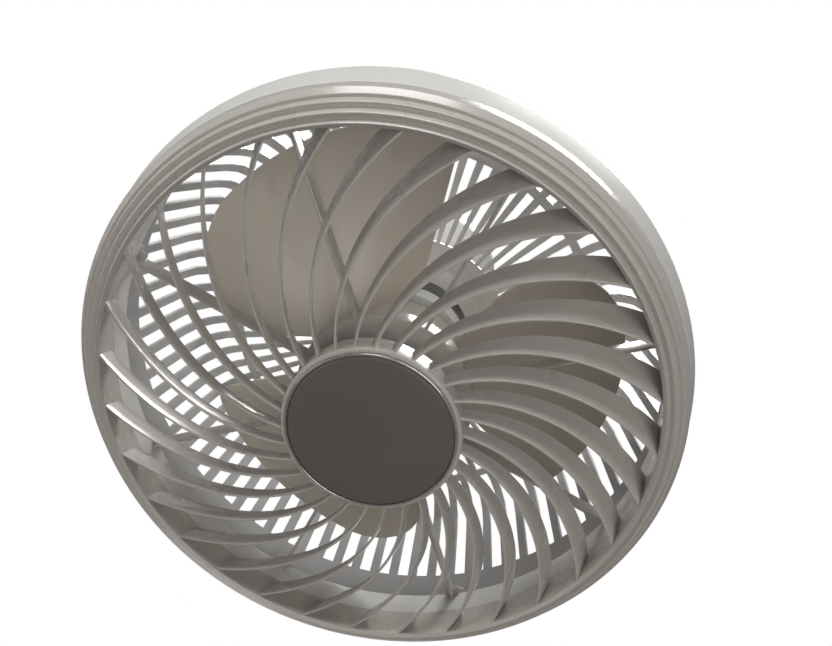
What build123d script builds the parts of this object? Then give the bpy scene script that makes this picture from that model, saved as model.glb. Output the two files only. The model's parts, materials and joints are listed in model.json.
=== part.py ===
from build123d import *
import os
from math import atan, cos, hypot, pi, radians, sin, tan

os.makedirs("parts", exist_ok=True)

# Cabin ceiling fan: a drum with a swirl grille, hung from the ceiling on a swivelling and tilting stem.
# Millimetres, +Z up. The origin is the centre of the base plate's ceiling face.
# Depths in the drum are measured upward from the plane of the grille's lip.

# Clearances
fit = 0.05
play = 0.15
slack = 0.3

# Ceiling base
plate_r = 55
plate_t = 2.5
plate_rim_drop = 9
dish_r = 33
dish_drop = 20
dish_draft = 3
mount_pcd = 80
mount_holes = 4
mount_hole_r = 2.75
cover_wall = 2
cover_drop = 34
cover_side = 10
cover_hole_r = 22
cover_round = 14

# Swivel stem and its fork
pivot_drop = 100
shank_r = 8
shank_over = 3
stem_r = 10
shoulder_r = 13
shoulder_t = 3
washer_r = 14
washer_t = 1.5
swivel_nut_flats = 24
swivel_nut_t = 8
tongue_t = 13.8
cheek_t = 4
fork_r = 12
fork_floor = 14
fork_base = 4

# Tilt bolt and knob
bolt_r = 4
bolt_flats = 13
bolt_head_t = 5
knob_washer_r = 9
knob_washer_t = 1.5
knob_r = 14
knob_t = 17
knob_lobes = 6
knob_lobe_r = 3.2
knob_chamfer = 1.2
knob_grip = 13

# Front grille
bore_r = 158
wall_draft = 10
skin = 2
rim_step = 17.5
rim_depth = 18
wall_depth = 26
# Ridges across the bezel: from, to, depth at each end, all outward from the bore
ridges = [(0.8, 2.6, -0.6, -0.4), (5.0, 6.9, 0.6, 1.4), (9.3, 11.0, 3.6, 4.8)]
groove_run = 0.9
groove_depth = 2.4
# Bore edge, bead outside the last groove, and round down to the rim: each a radius and a depth step
bore_edge = 1.8
bead = (1.2, 0.6)
rim_round = (1.4, 2.8)
bezel_t = 2.2
bezel_corner = 3
bezel_root = 4.8
slats = 30
slat_t = 1.8
slat_swirl = 0.368
slat_phase = 5.0
slat_lean = 0.2
slat_stations = 5
slat_front_hub = 0.8
slat_front_wall = 2.2
slat_h_hub = 8.7
slat_h_wall = 19.8
hub_ring_r = 52
hub_ring_t = 2.5
hub_ring_front = -1
hub_ring_back = 14
hub_floor = 6
hub_floor_t = 2.5
trim_t = 1.4
trim_front = -2.5
hub_cap_front = -3
hub_cap_t = 2
hub_cap_bevel = 1
post_r = 9
grille_screws = 6
grille_screw_at = 12.5
grille_screw_ring = 169
grille_boss_r = 3.5

# Front shell
drum_r = 181
belly_depth = 36
shell_depth = 47
shell_back_r = 180.6
web_t = 2
shell_screw_ring = 172
shell_boss_r = 4

# Spider that carries the grille's post
struts = 8
strut_at = 35
strut_t = 3
strut_front = 39
strut_h = 16
spider_plate_t = 4
spider_rim_r = 55
spider_rim_t = 3
pad_t = 3
pad_w = 10
pad_end_r = 176

# Rear guard
guard_depth = 106
guard_wall = 2.4
# Outline from the front edge to the flat back: inward from the shell's radius, back from the shell
guard_outline = [(4.2, 23), (13.6, 77), (17.6, 91), (25.6, 101)]
guard_back_r = 146
guard_hole_r = 45
guard_slots = 72
guard_slot_turn = 3.3
slot_front = 29
guard_ring_out = 137
guard_ring_in = 131
inner_slot_r = 72
tab_t = 2.5
tab_w = 14
tab_in_r = 166
tab_inset = 1.8

# Screws: shank, head, head height
small_screw = (1.4, 3.0, 2.5)
shell_screw = (1.6, 3.5, 2.5)
motor_screw = (2.0, 3.8, 2.5)
shell_screw_l = 17
grille_screw_l = 12
post_screw_l = 16

# Motor
motor_r = 44
motor_wall = 6
stator_l = 20
stator_bore = 24.3
flange_t = 2.6
flange_r = 56
motor_screw_ring = 50
front_shield_l = 12
rear_shield_l = 18
shield_t = 2
shield_edge = 1
shield_dome = 10
shaft_gap = 1.5
bearing_r = 11
bearing_w = 7
bearing_seat_t = 3
shaft_r = 4
shaft_end_r = 3
rotor_core_r = 24
winding_in = 26.5
winding_l = 7
winding_gap = 1
motor_bolt_r = 1.6
motor_bolt_ring = 40
motor_bolt_head_r = 2.2
motor_bolt_head_t = 2.3

# Motor cover, what it hides, and the bracket on it
motor_cover_r = 64
motor_cover_l = 19
motor_cover_wall = 2.5
motor_cover_taper = 2
motor_cover_round = 9
vents = 5
vent_w = 3
vent_pitch = 9
vent_l = 8
vent_rise = 3
capacitor_size = (28, 10, 10)
capacitor_round = 1.5
terminal_size = (24, 10, 9)
terminal_ways = 3
terminal_hole_r = 2.4
terminal_hole_l = 2
component_gap = 2
gland_r = 4.5
gland_bore_r = 3.2
gland_flange_r = 6.5
gland_flange_t = 2
gland_l = 6
gland_height = 8
bracket_r = 24
bracket_t = 3
bracket_screw_ring = 17
bracket_boss_r = 4
bracket_screw_l = 8
pivot_to_guard = 52

# Impeller
hub_r = 40
hub_l = 36
hub_wall = 2.5
hub_to_motor = 6
boss_r = 9
boss_l = 21.5
blades = 3
blade_tip_r = 150
blade_edge_at = 291
blade_t = 2.6
blade_turn = 86
blade_rise = 44
blade_crown = 5
blade_back = 6
blade_heel = 22
blade_nose = 62
blade_foot = 0.2
blade_corner = 7
blade_corner_turn = 4
# Rounded leading edge, from the tip inward: share of the span, turn; then the turn where it meets the hub
blade_lobe = [(0.91, 75), (0.71, 83), (0.43, 86), (0.15, 80)]
blade_toe = 66
# Stations of the blade's face, past its outline on every side
blade_radii = (32, 75, 115, 153)
blade_turns = range(-6, 96, 10)
pin_r = 1.5
pin_l = 16
pin_inset = 2
nut_r = 10
nut_l = 12
nut_round = 8
shaft_thread_l = 8

# Planes that several parts share
body_depth = shell_depth + guard_depth
lip_z = -(pivot_drop + pivot_to_guard + body_depth)
rim_r = bore_r + rim_step
web_back = wall_depth + web_t
pad_back = shell_depth + pad_t
tab_back = pad_back + tab_t
guard_plate_front = body_depth - guard_wall
stator_back = guard_plate_front - flange_t
stator_front = stator_back - stator_l
motor_front = stator_front - front_shield_l
motor_back = stator_back + rear_shield_l
cover_back = body_depth + motor_cover_l
bracket_back = cover_back + bracket_t
hub_back = motor_front - hub_to_motor
hub_front = hub_back - hub_l


def wall_r(depth):
    # Air duct wall, a cone that opens towards the back
    return bore_r + depth * tan(radians(wall_draft))


def drum_wall(depth):
    # Outside of the front shell between the bezel's rim and its widest line
    return rim_r + (drum_r - rim_r) * (depth - rim_depth) / (belly_depth - rim_depth)


def turned(points, base, rounds=()):
    # Solid of revolution from a closed outline of (radius, height) points, with rounded corners
    face = make_face(Polyline(*points, close=True))
    for corner, radius in rounds:
        face = fillet(face.vertices().sort_by_distance((corner[0], corner[1], 0))[0], radius)
    return Pos(0, 0, base) * revolve(Plane.XZ * face, Axis.Z)


def ring(r_in, r_out, low, high, base=lip_z):
    return turned([(r_in, low), (r_out, low), (r_out, high), (r_in, high)], base)


def around(shape, angles, radius=0):
    # Copies of a shape about the drum's axis, each moved out to the radius
    return [Rot(0, 0, angle) * Pos(radius, 0, 0) * shape for angle in angles]


def spaced(count, first=0):
    return [first + 360 * k / count for k in range(count)]


def rod(radius, low, high, base=lip_z):
    return ring(0, radius, low, high, base)


def bolt(size, length, seat):
    # Screw with its head above the seat depth and its shank below it
    shank, head, head_h = size
    return rod(shank, seat - length, seat) + rod(head, seat, seat + head_h)


def block(x0, x1, y0, y1, z0, z1):
    return Pos((x0 + x1) / 2, (y0 + y1) / 2, (z0 + z1) / 2) * Box(x1 - x0, y1 - y0, z1 - z0)


def cross_rod(radius, x0, x1, y=0, z=0):
    # Cylinder along X
    return Pos((x0 + x1) / 2, y, z) * Rot(0, 90, 0) * Cylinder(radius, x1 - x0)


def inset(points, wall):
    # The same outline moved inward by the wall thickness, with mitred corners
    normals = []
    for (r0, d0), (r1, d1) in zip(points, points[1:]):
        length = hypot(r1 - r0, d1 - d0)
        normals.append(((d0 - d1) / length, (r1 - r0) / length))
    inner = [(points[0][0] - wall / -normals[0][0], points[0][1])]
    for (r, d), a, b in zip(points[1:-1], normals, normals[1:]):
        scale = wall / (1 + a[0] * b[0] + a[1] * b[1])
        inner.append((r + (a[0] + b[0]) * scale, d + (a[1] + b[1]) * scale))
    inner.append((points[-1][0], points[-1][1] - wall))
    return inner


def save(name, *shapes):
    solids = [solid for shape in shapes for solid in shape.solids()]
    export_step(solids[0] if len(solids) == 1 else Compound(solids), f"parts/{name}.step")


# Ceiling plate: a pressed hat whose rim lies on the ceiling and whose floor carries the stem
dish_floor = -(dish_drop + plate_t)
stem_bore = shank_r + fit
ceiling_plate = turned(
    [
        (dish_r, 0),
        (plate_r, 0),
        (plate_r, -plate_rim_drop),
        (plate_r - plate_t, -plate_rim_drop),
        (plate_r - plate_t, -plate_t),
        (dish_r + plate_t, -plate_t),
        (dish_r + plate_t - dish_draft, dish_floor),
        (stem_bore, dish_floor),
        (stem_bore, -dish_drop),
        (dish_r - dish_draft, -dish_drop),
    ],
    0,
)
ceiling_plate -= around(rod(mount_hole_r, -plate_t, 0, 0), spaced(mount_holes, 45), mount_pcd / 2)

# Base cover: a plastic dome over the plate, held by two screws into the plate's rim
cover_in_r = plate_r + slack
cover_r = cover_in_r + cover_wall
cover_slope = cover_side + (cover_drop - cover_side) / 3
base_cover = turned(
    [
        (cover_r, -slack),
        (cover_r, -cover_slope),
        (cover_hole_r + cover_wall, -cover_drop),
        (cover_hole_r, -cover_drop),
        (cover_hole_r, -cover_drop + cover_wall),
        (cover_in_r, -cover_slope + cover_wall / 2),
        (cover_in_r, -slack),
    ],
    0,
    [
        ((cover_r, -cover_slope), cover_round),
        ((cover_in_r, -cover_slope + cover_wall / 2), cover_round - cover_wall),
    ],
)
cover_screw_z = -plate_rim_drop / 2 - plate_t / 2
cover_screw_shank, cover_screw_head, cover_screw_head_h = small_screw
cover_screws = []
for side in (0, 180):
    shank = cross_rod(cover_screw_shank, plate_r - 2 * plate_t, cover_r, 0, cover_screw_z)
    head = cross_rod(cover_screw_head, cover_r, cover_r + cover_screw_head_h, 0, cover_screw_z)
    hole = cross_rod(cover_screw_shank + fit, plate_r - 2 * plate_t, cover_r + slack, 0, cover_screw_z)
    cover_screws.append(Rot(0, 0, side) * (shank + head))
    ceiling_plate -= Rot(0, 0, side) * hole
    base_cover -= Rot(0, 0, side) * hole

save("ceiling_plate", ceiling_plate)
save("base_cover", base_cover)
save("cover_screw", *cover_screws)

# Swivel stem: threaded shank up through the plate, shoulder, tube and the fork for the tilt bolt
shoulder_top = dish_floor - play - washer_t
nut_low = -dish_drop + play + washer_t
shank_top = nut_low + swivel_nut_t + shank_over
fork_half = tongue_t / 2 + play
fork_out = fork_half + cheek_t
fork_top = -pivot_drop + fork_floor
swivel_stem = rod(shank_r, shoulder_top, shank_top, 0)
swivel_stem += rod(shoulder_r, shoulder_top - shoulder_t, shoulder_top, 0)
swivel_stem += rod(stem_r, fork_top, shoulder_top - shoulder_t, 0)
fork_shape = block(-fork_out, fork_out, -fork_r, fork_r, -pivot_drop, fork_top + fork_base)
fork_shape += cross_rod(fork_r, -fork_out, fork_out, 0, -pivot_drop)
fork_shape -= block(-fork_half, fork_half, -fork_r, fork_r, -pivot_drop - fork_r, fork_top)
swivel_stem += fork_shape
swivel_stem -= cross_rod(bolt_r + fit, -fork_out, fork_out, 0, -pivot_drop)
save("swivel_stem", swivel_stem)

lower_washer = ring(stem_bore, washer_r, shoulder_top, shoulder_top + washer_t, 0)
upper_washer = ring(stem_bore, washer_r, nut_low - washer_t, nut_low, 0)
save("swivel_washer", lower_washer, upper_washer)

nut_shape = extrude(RegularPolygon(swivel_nut_flats / 2, 6, major_radius=False), swivel_nut_t)
swivel_nut = Pos(0, 0, nut_low) * nut_shape - rod(stem_bore, nut_low, shank_top, 0)
save("swivel_nut", swivel_nut)

# Tilt bolt along X, its washer and the lobed knob that clamps the fork
knob_seat = fork_out + knob_washer_t + play
bolt_tip = knob_seat + knob_grip
hex_head = extrude(Plane.YZ * RegularPolygon(bolt_flats / 2, 6, major_radius=False), -bolt_head_t)
tilt_bolt = cross_rod(bolt_r, -fork_out, bolt_tip) + Pos(-fork_out, 0, 0) * hex_head
save("tilt_bolt", Pos(0, 0, -pivot_drop) * tilt_bolt)

knob_washer = cross_rod(knob_washer_r, fork_out, fork_out + knob_washer_t)
knob_washer -= cross_rod(bolt_r + fit, fork_out, fork_out + knob_washer_t)
save("knob_washer", Pos(0, 0, -pivot_drop) * knob_washer)

knob_plan = Circle(knob_r) - [Rot(0, 0, a) * Pos(knob_r + knob_lobe_r / 2, 0) * Circle(knob_lobe_r)
                              for a in spaced(knob_lobes)]
knob = extrude(Plane.YZ * knob_plan, knob_t)
knob = chamfer(knob.faces().sort_by(Axis.X)[-1].edges(), knob_chamfer)
knob = Pos(knob_seat, 0, 0) * knob - cross_rod(bolt_r + fit, knob_seat, bolt_tip + slack)
save("tilt_knob", Pos(0, 0, -pivot_drop) * knob)


def bezel_outline():
    # Front face of the bezel from the bore outward, with a groove after each ridge
    points = [(bore_r, ridges[0][2] + bore_edge)]
    for start, end, depth_in, depth_out in ridges:
        points += [(bore_r + start, depth_in), (bore_r + end, depth_out)]
        points.append((bore_r + end + groove_run, depth_out + groove_depth))
    last_r, last_depth = points[-1]
    points.append((last_r + bead[0], last_depth - bead[1]))
    points.append((rim_r - rim_round[0], last_depth + rim_round[1]))
    points.append((rim_r, rim_depth))
    return points


def slat_edge(side, turn, z):
    # One long edge of a slat in plan, a swirl of constant turn for each millimetre outward
    points = []
    r_in = hub_ring_r - hub_ring_t / 2
    r_out = wall_r(wall_depth) + skin / 2
    for k in range(slat_stations):
        r = r_in + (r_out - r_in) * k / (slat_stations - 1)
        angle = radians(slat_phase + turn + slat_swirl * (r - hub_ring_r))
        heading = angle + atan(r * radians(slat_swirl))
        shift = side * slat_t / 2
        points.append((r * cos(angle) - shift * sin(heading), r * sin(angle) + shift * cos(heading), z))
    return points


def slat_section(depth):
    near = slat_edge(1, -slat_lean * depth, lip_z + depth)
    far = slat_edge(-1, -slat_lean * depth, lip_z + depth)
    return make_face([Spline(*near), Line(near[-1], far[-1]), Spline(*far), Line(far[0], near[0])])


# Front grille: bezel, swirl of slats, hub ring and the post that reaches back to the spider
outer_face = bezel_outline()
under_bezel = ridges[-1][3] + groove_depth + bezel_t
bezel = turned(
    outer_face
    + [
        (rim_r - skin, rim_depth),
        (rim_r - skin - bezel_corner, under_bezel),
        (wall_r(bezel_root) + skin, bezel_root),
        (wall_r(wall_depth) + skin, wall_depth),
        (wall_r(wall_depth), wall_depth),
    ],
    lip_z,
)
hub_in_r = hub_ring_r - hub_ring_t
floor_back = hub_floor + hub_floor_t
hub = ring(hub_in_r, hub_ring_r, hub_ring_front, hub_ring_back) + rod(hub_in_r + fit, hub_floor, floor_back)
post = rod(post_r, floor_back - fit, strut_front)
slat_back = max(slat_front_hub + slat_h_hub, slat_front_wall + slat_h_wall)
slat_room = turned(
    [
        (hub_ring_r - hub_ring_t / 2, slat_front_hub),
        (wall_r(slat_front_wall) + skin / 2, slat_front_wall),
        (wall_r(slat_front_wall + slat_h_wall) + skin / 2, slat_front_wall + slat_h_wall),
        (hub_ring_r - hub_ring_t / 2, slat_front_hub + slat_h_hub),
    ],
    lip_z,
)
slat = loft([slat_section(-1), slat_section(slat_back + 1)], ruled=True) & slat_room
grille_boss = rod(grille_boss_r, under_bezel - skin / 2, wall_depth)
grille_screw_spots = spaced(grille_screws, grille_screw_at)
front_grille = bezel + hub + post
front_grille += around(grille_boss, grille_screw_spots, grille_screw_ring)
front_grille += around(slat, spaced(slats))
grille_pilot = rod(small_screw[0] + fit, wall_depth - grille_screw_l, wall_depth)
front_grille -= around(grille_pilot, grille_screw_spots, grille_screw_ring)
post_screw_seat = strut_front + spider_plate_t
front_grille -= rod(motor_screw[0] + fit, post_screw_seat - post_screw_l - slack, strut_front)
save("front_grille", front_grille)

# Hub trim ring and the cap inside it, both standing on the hub's floor
trim_out = hub_in_r - fit
trim_in = trim_out - trim_t
save("hub_trim", ring(trim_in, trim_out, trim_front, hub_floor))

cap_r = trim_in - fit
hub_cap = turned(
    [
        (0, hub_cap_front),
        (cap_r - hub_cap_bevel, hub_cap_front),
        (cap_r, hub_cap_front + hub_cap_bevel),
        (cap_r, hub_floor),
        (cap_r - hub_cap_t, hub_floor),
        (cap_r - hub_cap_t, hub_cap_front + hub_cap_t),
        (0, hub_cap_front + hub_cap_t),
    ],
    lip_z,
)
save("hub_cap", hub_cap)

# Front shell: outer skin, web and the duct liner behind the grille
front_shell = turned(
    [
        (rim_r, rim_depth),
        (drum_r, belly_depth),
        (shell_back_r, shell_depth),
        (shell_back_r - skin, shell_depth),
        (drum_r - skin, belly_depth),
        (drum_wall(web_back) - skin, web_back),
        (wall_r(web_back) + skin, web_back),
        (wall_r(shell_depth) + skin, shell_depth),
        (wall_r(shell_depth), shell_depth),
        (wall_r(wall_depth), wall_depth),
        (drum_wall(wall_depth) - skin, wall_depth),
        (rim_r - skin, rim_depth),
    ],
    lip_z,
)
strut_spots = spaced(struts, strut_at)
front_shell += around(rod(shell_boss_r, wall_depth + web_t / 2, shell_depth), strut_spots, shell_screw_ring)
shell_pilot = rod(shell_screw[0] + fit, tab_back - shell_screw_l - slack, tab_back)
front_shell -= around(shell_pilot, strut_spots, shell_screw_ring)
web_hole = rod(small_screw[0] + fit, wall_depth, web_back)
front_shell -= around(web_hole, grille_screw_spots, grille_screw_ring)
save("front_shell", front_shell)
grille_bolt = bolt(small_screw, grille_screw_l, web_back)
save("grille_screw", *around(grille_bolt, grille_screw_spots, grille_screw_ring))

# Spider: eight struts from the shell's bosses to the plate behind the grille's hub
strut_z = (lip_z + strut_front, lip_z + strut_front + strut_h)
strut_end = wall_r(strut_front) - slack
strut = block(spider_rim_r - spider_rim_t / 2, strut_end, -strut_t / 2, strut_t / 2, *strut_z)
pad = block(strut_end - pad_t, pad_end_r, -pad_w / 2, pad_w / 2, lip_z + shell_depth, lip_z + pad_back)
spider = rod(spider_rim_r, strut_front, strut_front + spider_plate_t)
spider += ring(spider_rim_r - spider_rim_t, spider_rim_r, strut_front, strut_front + strut_h)
spider += around(strut, strut_spots)
spider += around(pad, strut_spots)
spider -= around(shell_pilot, strut_spots, shell_screw_ring)
spider -= rod(motor_screw[0] + fit, strut_front, post_screw_seat)
save("spider", spider)
save("post_screw", bolt(motor_screw, post_screw_l, post_screw_seat))
save("shell_screw", *around(bolt(shell_screw, shell_screw_l, tab_back), strut_spots, shell_screw_ring))

# Rear guard: a slotted basket that stands on the shell and carries the motor on its back
guard_line = [(shell_back_r, shell_depth)]
guard_line += [(shell_back_r - step, shell_depth + back) for step, back in guard_outline]
guard_line += [(guard_back_r, body_depth), (guard_hole_r, body_depth)]
rear_guard = turned(guard_line + inset(guard_line, guard_wall)[::-1], lip_z)
tab_z = (lip_z + pad_back, lip_z + tab_back)
tab = block(tab_in_r, shell_back_r - tab_inset, -tab_w / 2, tab_w / 2, *tab_z)
rear_guard += around(tab, strut_spots)
rear_guard -= around(shell_pilot, strut_spots, shell_screw_ring)


def slot_cutter(r_in, r_out, low, high):
    # Wedge that leaves straight-sided ribs between equal slots
    face = make_face(Polyline((r_in, low), (r_out, low), (r_out, high), (r_in, high), close=True))
    return Pos(0, 0, lip_z) * revolve(Plane.XZ * face, Axis.Z, guard_slot_turn)


slot_spots = spaced(guard_slots, -guard_slot_turn / 2)
side_slot = slot_cutter(guard_ring_out, drum_r, shell_depth + slot_front, body_depth + slack)
back_slot = slot_cutter(inner_slot_r, guard_ring_in, guard_plate_front - slack, body_depth + slack)
rear_guard -= around(side_slot, slot_spots)
rear_guard -= around(back_slot, slot_spots)
motor_spots = spaced(4, 45)
motor_hole = rod(motor_screw[0] + fit, stator_back, body_depth)
rear_guard -= around(motor_hole, motor_spots, motor_screw_ring)
save("rear_guard", rear_guard)
motor_screw_l = guard_wall + flange_t
save("motor_screw", *around(bolt(motor_screw, motor_screw_l, body_depth), motor_spots, motor_screw_ring))

# Motor shields, stator and windings
shield_in = motor_r - motor_wall
seat_r = bearing_r + fit
seat_out = bearing_r + bearing_seat_t
shaft_hole = shaft_r + shaft_gap
plate_back = motor_front + shield_t
front_shield = turned(
    [
        (motor_r, stator_front),
        (motor_r, motor_front + shield_edge),
        (motor_r - shield_edge, motor_front),
        (shaft_hole, motor_front),
        (shaft_hole, plate_back),
        (seat_r, plate_back),
        (seat_r, plate_back + bearing_w),
        (seat_out, plate_back + bearing_w),
        (seat_out, plate_back),
        (shield_in, plate_back),
        (shield_in, stator_front),
    ],
    lip_z,
)
rear_plate = motor_back - shield_t
rear_shield = turned(
    [
        (shield_in, stator_back),
        (flange_r, stator_back),
        (flange_r, guard_plate_front),
        (motor_r, guard_plate_front),
        (motor_r, motor_back - rear_shield_l / 2),
        (motor_r - shield_dome, motor_back),
        (0, motor_back),
        (0, rear_plate),
        (seat_r, rear_plate),
        (seat_r, rear_plate - bearing_w),
        (seat_out, rear_plate - bearing_w),
        (seat_out, rear_plate),
        (motor_r - shield_dome - shield_t, rear_plate),
        (shield_in, motor_back - rear_shield_l / 2),
    ],
    lip_z,
)
stator_core = ring(stator_bore, motor_r, stator_front, stator_back)
bolt_seat = motor_front
motor_bolt_l = stator_back - bolt_seat + flange_t
bolt_spots = spaced(4, 0)
bolt_hole = rod(motor_bolt_r + fit, bolt_seat, bolt_seat + motor_bolt_l)
front_shield -= around(bolt_hole, bolt_spots, motor_bolt_ring)
stator_core -= around(bolt_hole, bolt_spots, motor_bolt_ring)
rear_shield -= around(bolt_hole, bolt_spots, motor_bolt_ring)
rear_shield -= around(motor_hole, motor_spots, motor_screw_ring)
cover_in_back = cover_back - motor_cover_wall
bracket_boss = rod(bracket_boss_r, motor_back - shield_t / 2, cover_in_back)
rear_shield += around(bracket_boss, motor_spots, bracket_screw_ring)
bracket_hole = rod(motor_screw[0] + fit, bracket_back - bracket_screw_l - slack, bracket_back)
rear_shield -= around(bracket_hole, motor_spots, bracket_screw_ring)
save("front_shield", front_shield)
save("rear_shield", rear_shield)
save("stator_core", stator_core)
long_bolt = rod(motor_bolt_r, bolt_seat, bolt_seat + motor_bolt_l)
long_bolt += rod(motor_bolt_head_r, bolt_seat - motor_bolt_head_t, bolt_seat)
save("motor_bolt", *around(long_bolt, bolt_spots, motor_bolt_ring))
winding_out = shield_in - winding_gap
front_winding = ring(winding_in, winding_out, stator_front - winding_l, stator_front)
back_winding = ring(winding_in, winding_out, stator_back, stator_back + winding_l)
save("winding", front_winding, back_winding)
save("front_bearing", ring(shaft_r + fit, bearing_r, plate_back, plate_back + bearing_w))
save("rear_bearing", ring(shaft_r + fit, bearing_r, rear_plate - bearing_w, rear_plate))

# Motor cover with its vents, the parts that stand under it, and the cord inlet
motor_cover = turned(
    [
        (motor_cover_r, body_depth),
        (motor_cover_r - motor_cover_taper, cover_back),
        (0, cover_back),
        (0, cover_in_back),
        (motor_cover_r - motor_cover_taper - motor_cover_wall, cover_in_back),
        (motor_cover_r - motor_cover_wall, body_depth),
    ],
    lip_z,
    [
        ((motor_cover_r - motor_cover_taper, cover_back), motor_cover_round),
        (
            (motor_cover_r - motor_cover_taper - motor_cover_wall, cover_in_back),
            motor_cover_round - motor_cover_wall,
        ),
    ],
)
vent_z = (lip_z + body_depth + vent_rise, lip_z + body_depth + vent_rise + vent_l)
vent_in = motor_cover_r - 4 * motor_cover_wall
for side in (90, 270):
    for k in range(vents):
        offset = (k - (vents - 1) / 2) * vent_pitch
        vent = block(vent_in, motor_cover_r, offset - vent_w / 2, offset + vent_w / 2, *vent_z)
        motor_cover -= Rot(0, 0, side) * vent
gland_z = lip_z + body_depth + gland_height
motor_cover -= cross_rod(gland_r + fit, -motor_cover_r - slack, -motor_cover_r + gland_l, 0, gland_z)
motor_cover -= around(bracket_hole, motor_spots, bracket_screw_ring)
save("motor_cover", motor_cover)

gland_seat = -motor_cover_r - fit
cord_gland = cross_rod(gland_r, gland_seat, gland_seat + gland_l, 0, gland_z)
cord_gland += cross_rod(gland_flange_r, gland_seat - gland_flange_t, gland_seat, 0, gland_z)
cord_gland -= cross_rod(gland_bore_r, gland_seat - gland_flange_t, gland_seat + gland_l, 0, gland_z)
save("cord_gland", cord_gland)

component_low = lip_z + body_depth
component_in = motor_r + component_gap


def component(size):
    # Block on the guard's back, beside the motor
    length, depth, height = size
    component_z = (component_low, component_low + height)
    return block(-length / 2, length / 2, component_in, component_in + depth, *component_z)


capacitor = component(capacitor_size)
capacitor = fillet(capacitor.edges().filter_by(Axis.X), capacitor_round)
save("capacitor", capacitor)
terminal_block = component(terminal_size)
terminal_top = component_low + terminal_size[2]
terminal_hole = Cylinder(terminal_hole_r, 2 * terminal_hole_l)
for k in range(terminal_ways):
    x = (k - (terminal_ways - 1) / 2) * terminal_size[0] / terminal_ways
    terminal_block -= Pos(x, component_in + terminal_size[1] / 2, terminal_top) * terminal_hole
save("terminal_block", Rot(0, 0, 180) * terminal_block)

# Pivot bracket: flange on the motor cover and the tongue between the fork's cheeks
tongue_half = tongue_t / 2
flange_top = lip_z + bracket_back
pivot_bracket = rod(bracket_r, cover_back, bracket_back)
pivot_bracket += block(-tongue_half, tongue_half, -fork_r, fork_r, flange_top - bracket_t / 2, -pivot_drop)
pivot_bracket += cross_rod(fork_r, -tongue_half, tongue_half, 0, -pivot_drop)
pivot_bracket -= cross_rod(bolt_r + fit, -tongue_half, tongue_half, 0, -pivot_drop)
pivot_bracket -= around(bracket_hole, motor_spots, bracket_screw_ring)
save("pivot_bracket", pivot_bracket)
bracket_bolt = bolt(motor_screw, bracket_screw_l, bracket_back)
save("bracket_screw", *around(bracket_bolt, motor_spots, bracket_screw_ring))

# Rotor: shaft, core, impeller hub with its blades, cross pin and nose nut
pin_at = hub_front + hub_wall + boss_l - pin_inset
shaft_front = hub_front + hub_wall
motor_shaft = rod(shaft_r, shaft_front, rear_plate - slack)
motor_shaft += rod(shaft_end_r, hub_front - shaft_thread_l, shaft_front)
motor_shaft -= cross_rod(pin_r + fit, -shaft_r, shaft_r, 0, lip_z + pin_at)
save("motor_shaft", motor_shaft)
save("drive_pin", cross_rod(pin_r, -pin_l / 2, pin_l / 2, 0, lip_z + pin_at))
rotor_core = ring(shaft_r + fit, rotor_core_r, stator_front, stator_back)
save("rotor_core", rotor_core)


def blade_depth(turn):
    # Depth of the blade's face: straight edge at the back, rounded edge at the front, slightly crowned
    share = turn / blade_turn
    return hub_back + blade_back - blade_rise * share + blade_crown * sin(pi * share)


def on_blade(radius, turn):
    angle = radians(blade_edge_at - turn)
    return (radius * cos(angle), radius * sin(angle))


def span(share):
    return hub_r + (blade_tip_r - hub_r) * share


blade_root = hub_r - hub_wall / 2
heel = on_blade(blade_root, blade_heel)
edge_foot = on_blade(span(blade_foot), 0)
edge_head = on_blade(blade_tip_r - blade_corner, 0)
tip_start = on_blade(blade_tip_r, blade_corner_turn)
tip_end = on_blade(blade_tip_r, blade_nose)
toe = on_blade(blade_root, blade_toe)
lobe = [tip_end] + [on_blade(span(share), turn) for share, turn in blade_lobe] + [toe]
blade_plan = make_face([
    Polyline(toe, heel, edge_foot, edge_head),
    ThreePointArc(edge_head, on_blade(blade_tip_r - blade_corner / 4, blade_corner_turn / 3), tip_start),
    ThreePointArc(tip_start, on_blade(blade_tip_r, blade_nose / 2), tip_end),
    Spline(*lobe),
])
blade_face = Face.make_surface_from_array_of_points([
    [(*on_blade(r, turn), lip_z + blade_depth(turn)) for turn in blade_turns]
    for r in blade_radii
])
blade = extrude(blade_face, blade_t, dir=(0, 0, 1))
blade &= Pos(0, 0, lip_z) * extrude(blade_plan, body_depth)
impeller = ring(hub_r - hub_wall, hub_r, hub_front, hub_back) + rod(hub_r, hub_front, shaft_front)
impeller += rod(boss_r, hub_front, shaft_front + boss_l)
impeller += around(blade, spaced(blades))
impeller -= rod(shaft_r + fit, shaft_front, shaft_front + boss_l)
impeller -= rod(shaft_end_r + fit, hub_front, shaft_front)
pin_z = lip_z + pin_at
boss_end = lip_z + shaft_front + boss_l
impeller -= block(-pin_l / 2, pin_l / 2, -pin_r - fit, pin_r + fit, pin_z - pin_r - fit, boss_end)
save("impeller", impeller)

nut_front = hub_front - nut_l
hub_nut = turned(
    [(0, nut_front), (nut_r, nut_front), (nut_r, hub_front), (0, hub_front)],
    lip_z,
    [((nut_r, nut_front), nut_round)],
)
hub_nut -= rod(shaft_end_r + fit, hub_front - shaft_thread_l - slack, hub_front)
save("hub_nut", hub_nut)
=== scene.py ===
import json
import math
import bpy
import bmesh
from mathutils import Matrix, Vector


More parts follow.
